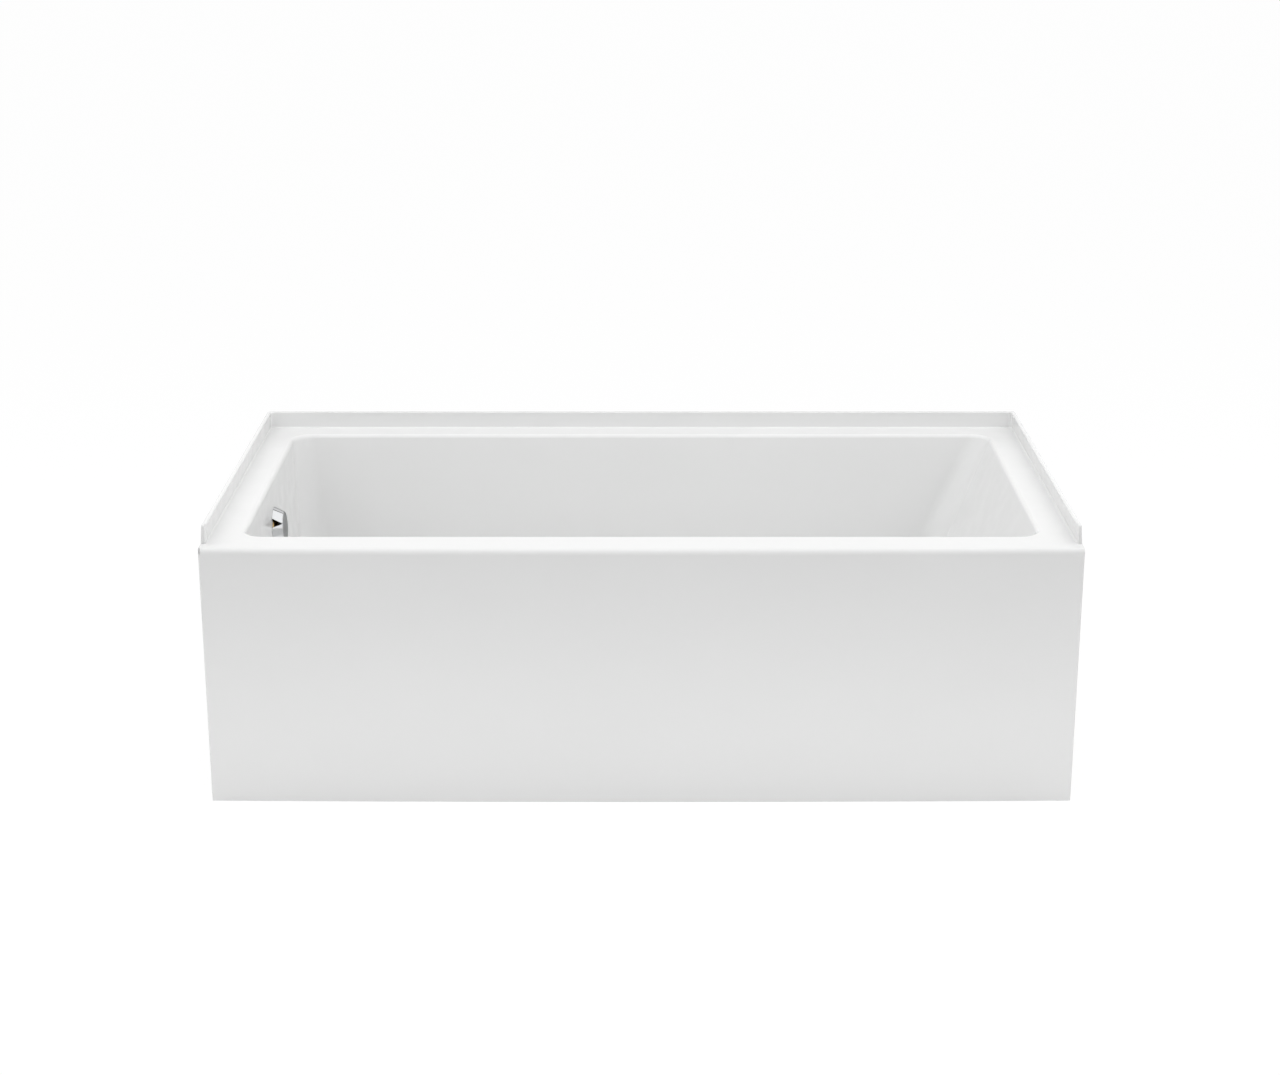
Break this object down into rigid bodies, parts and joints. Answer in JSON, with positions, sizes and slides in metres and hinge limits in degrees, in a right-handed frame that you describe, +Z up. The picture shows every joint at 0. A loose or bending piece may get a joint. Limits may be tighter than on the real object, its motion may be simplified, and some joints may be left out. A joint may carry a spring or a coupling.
{
  "type": "alcove bathtub",
  "caption": "Rectangular alcove bathtub with an integral apron, tile flange on three sides, sloped backrest, left-hand drain, chrome overflow cover and toe-touch stopper.",
  "frame": {"origin": "middle of the footprint, on the floor", "axes": "+Z up, X along the tub with the drain end at -X, the apron faces -Y"},
  "size_m": [1.524, 0.813, 0.503],
  "materials": {
    "white_acrylic": "glossy white cast acrylic sheet",
    "fibreglass": "rough sprayed glass-fibre laminate",
    "bonding_resin": "dull filled resin",
    "strand_board": "oriented strand board",
    "plywood": "sanded softwood plywood",
    "timber": "planed softwood",
    "galvanised_steel": "galvanised sheet steel",
    "zinc_plated_steel": "bright zinc plate",
    "chrome": "polished chrome plate",
    "brass": "turned brass",
    "spring_steel": "stainless spring wire",
    "black_rubber": "moulded rubber",
    "foam_rubber": "closed-cell foam",
    "washer_plastic": "translucent soft washer plastic",
    "waste_plastic": "off-white waste pipe plastic",
    "nut_plastic": "grey moulded nut plastic",
    "foot_plastic": "black moulded nylon"
  },
  "bodies": {
    "tub": {"tub_shell": "white_acrylic", "fibreglass_backing": "fibreglass", "bonding_bed": "bonding_resin", "base_board": "strand_board", "front_rim_board": "plywood", "apron_foot_rail": "timber", "apron_stud_drain_end": "plywood", "apron_stud_middle": "plywood", "apron_stud_head_end": "plywood", "cradle_rail_drain_end": "galvanised_steel", "cradle_rail_middle": "galvanised_steel", "cradle_rail_head_end": "galvanised_steel", "rail_screws": "zinc_plated_steel", "foot_nuts": "zinc_plated_steel", "drain_strainer": "chrome", "overflow_cover": "chrome", "overflow_retainer": "brass", "stopper_post": "brass", "drain_gasket": "black_rubber", "slip_washers": "washer_plastic", "overflow_gasket": "foam_rubber", "drain_shoe": "waste_plastic", "overflow_elbow": "waste_plastic", "waste_tee": "waste_plastic", "overflow_tube": "waste_plastic", "shoe_tube": "waste_plastic", "tailpiece": "waste_plastic", "slip_nuts": "nut_plastic"},
    "stopper": {"stopper_cap": "chrome", "stopper_seal": "black_rubber", "stopper_spring": "spring_steel"},
    "foot_drain_front": {"foot_rod_drain_front": "zinc_plated_steel", "foot_pad_drain_front": "foot_plastic"},
    "foot_drain_back": {"foot_rod_drain_back": "zinc_plated_steel", "foot_pad_drain_back": "foot_plastic"},
    "foot_middle": {"foot_rod_middle": "zinc_plated_steel", "foot_pad_middle": "foot_plastic"},
    "foot_head_front": {"foot_rod_head_front": "zinc_plated_steel", "foot_pad_head_front": "foot_plastic"},
    "foot_head_back": {"foot_rod_head_back": "zinc_plated_steel", "foot_pad_head_back": "foot_plastic"}
  },
  "joints": [
    {"name": "stopper_slide", "type": "slide", "parent": "tub", "child": "stopper", "axis": [0, 0, 1], "range_m": [-0.0095, 0], "deforming": ["stopper_spring"]},
    {"name": "foot_drain_front_height", "type": "slide", "parent": "tub", "child": "foot_drain_front", "axis": [0, 0, 1], "range_m": [-0.008, 0.01]},
    {"name": "foot_drain_back_height", "type": "slide", "parent": "tub", "child": "foot_drain_back", "axis": [0, 0, 1], "range_m": [-0.008, 0.01]},
    {"name": "foot_middle_height", "type": "slide", "parent": "tub", "child": "foot_middle", "axis": [0, 0, 1], "range_m": [-0.008, 0.01]},
    {"name": "foot_head_front_height", "type": "slide", "parent": "tub", "child": "foot_head_front", "axis": [0, 0, 1], "range_m": [-0.008, 0.01]},
    {"name": "foot_head_back_height", "type": "slide", "parent": "tub", "child": "foot_head_back", "axis": [0, 0, 1], "range_m": [-0.008, 0.01]}
  ]
}
